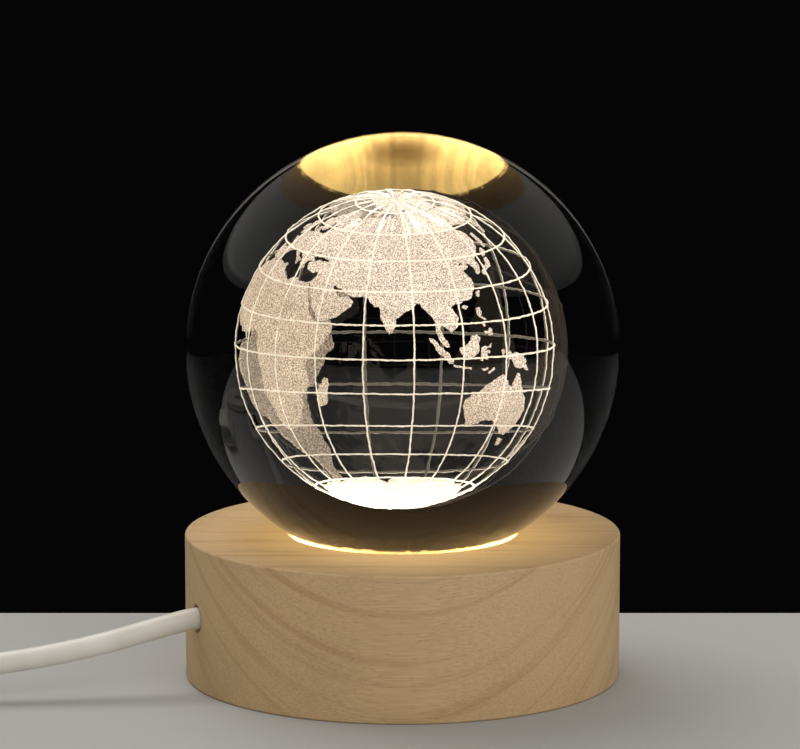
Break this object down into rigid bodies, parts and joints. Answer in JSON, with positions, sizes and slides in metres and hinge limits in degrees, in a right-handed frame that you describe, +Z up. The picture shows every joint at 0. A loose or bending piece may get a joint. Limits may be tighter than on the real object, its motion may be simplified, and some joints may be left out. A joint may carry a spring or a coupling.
{
  "type": "crystal ball lamp",
  "caption": "Clear glass ball with a globe engraved inside it, resting on a lit turned beech base, with a thin lead, an in-line rocker switch, a coil of spare lead and a flat plug.",
  "frame": {"origin": "centre of the base's underside, on the table", "axes": "+Z up through the ball; -Y towards the picture's camera; the lead leaves the base's side on -X"},
  "size_m": [0.1926, 0.0606, 0.0758],
  "materials": {
    "beech": "turned and sanded, unvarnished",
    "crystal": "polished",
    "engraving": "fine white points made by laser inside the glass",
    "board": "white solder mask",
    "phosphor": "warm white LED",
    "resistor": "glazed",
    "nylon": "moulded",
    "steel": "plated",
    "cover": "moulded",
    "foam": "closed-cell foam",
    "lead": "soft PVC",
    "switch": "moulded",
    "rocker": "moulded",
    "red_wire": "PVC",
    "black_wire": "PVC",
    "brass": "stamped",
    "strap": "smooth tape"
  },
  "bodies": {
    "base": {"wood_base": "beech", "base_pad": "foam", "bottom_cover": "cover", "cover_screw_1": "steel", "cover_screw_2": "steel", "cover_screw_3": "steel", "led_board": "board", "board_spacer_1": "nylon", "board_spacer_2": "nylon", "board_spacer_3": "nylon", "board_screw_1": "steel", "board_screw_2": "steel", "board_screw_3": "steel", "led_1": "phosphor", "led_2": "phosphor", "led_3": "phosphor", "led_4": "phosphor", "led_5": "phosphor", "led_6": "phosphor", "resistor_1": "resistor", "resistor_2": "resistor", "wire_red": "red_wire", "wire_black": "black_wire", "cord_tie": "nylon", "switch_case_bottom": "switch", "switch_case_top": "switch", "switch_contact_1": "brass", "switch_contact_2": "brass", "switch_wire_red_1": "red_wire", "switch_wire_red_2": "red_wire", "switch_wire_black": "black_wire", "switch_screw_1": "steel", "switch_screw_2": "steel", "cord_lead": "lead", "cord_middle": "lead", "cord_coil": "lead", "coil_strap": "strap", "cord_tail": "lead", "plug_overmould": "lead", "usb_shell": "steel", "usb_tongue": "nylon", "usb_contact_1": "brass", "usb_contact_2": "brass", "usb_contact_3": "brass", "usb_contact_4": "brass"},
    "ball": {"crystal_ball": "crystal", "engraved_globe": "engraving"},
    "rocker": {"switch_rocker": "rocker", "switch_bridge": "brass"}
  },
  "joints": [
    {"name": "ball_lift", "type": "slide", "parent": "base", "child": "ball", "axis": [0, 0, 1], "range_m": [0, 0.04]},
    {"name": "switch_rock", "type": "hinge", "parent": "base", "child": "rocker", "pos_m": [-0.079, -0.018, 0.006], "axis": [0, 1, 0], "range_deg": [-16, 0]}
  ]
}
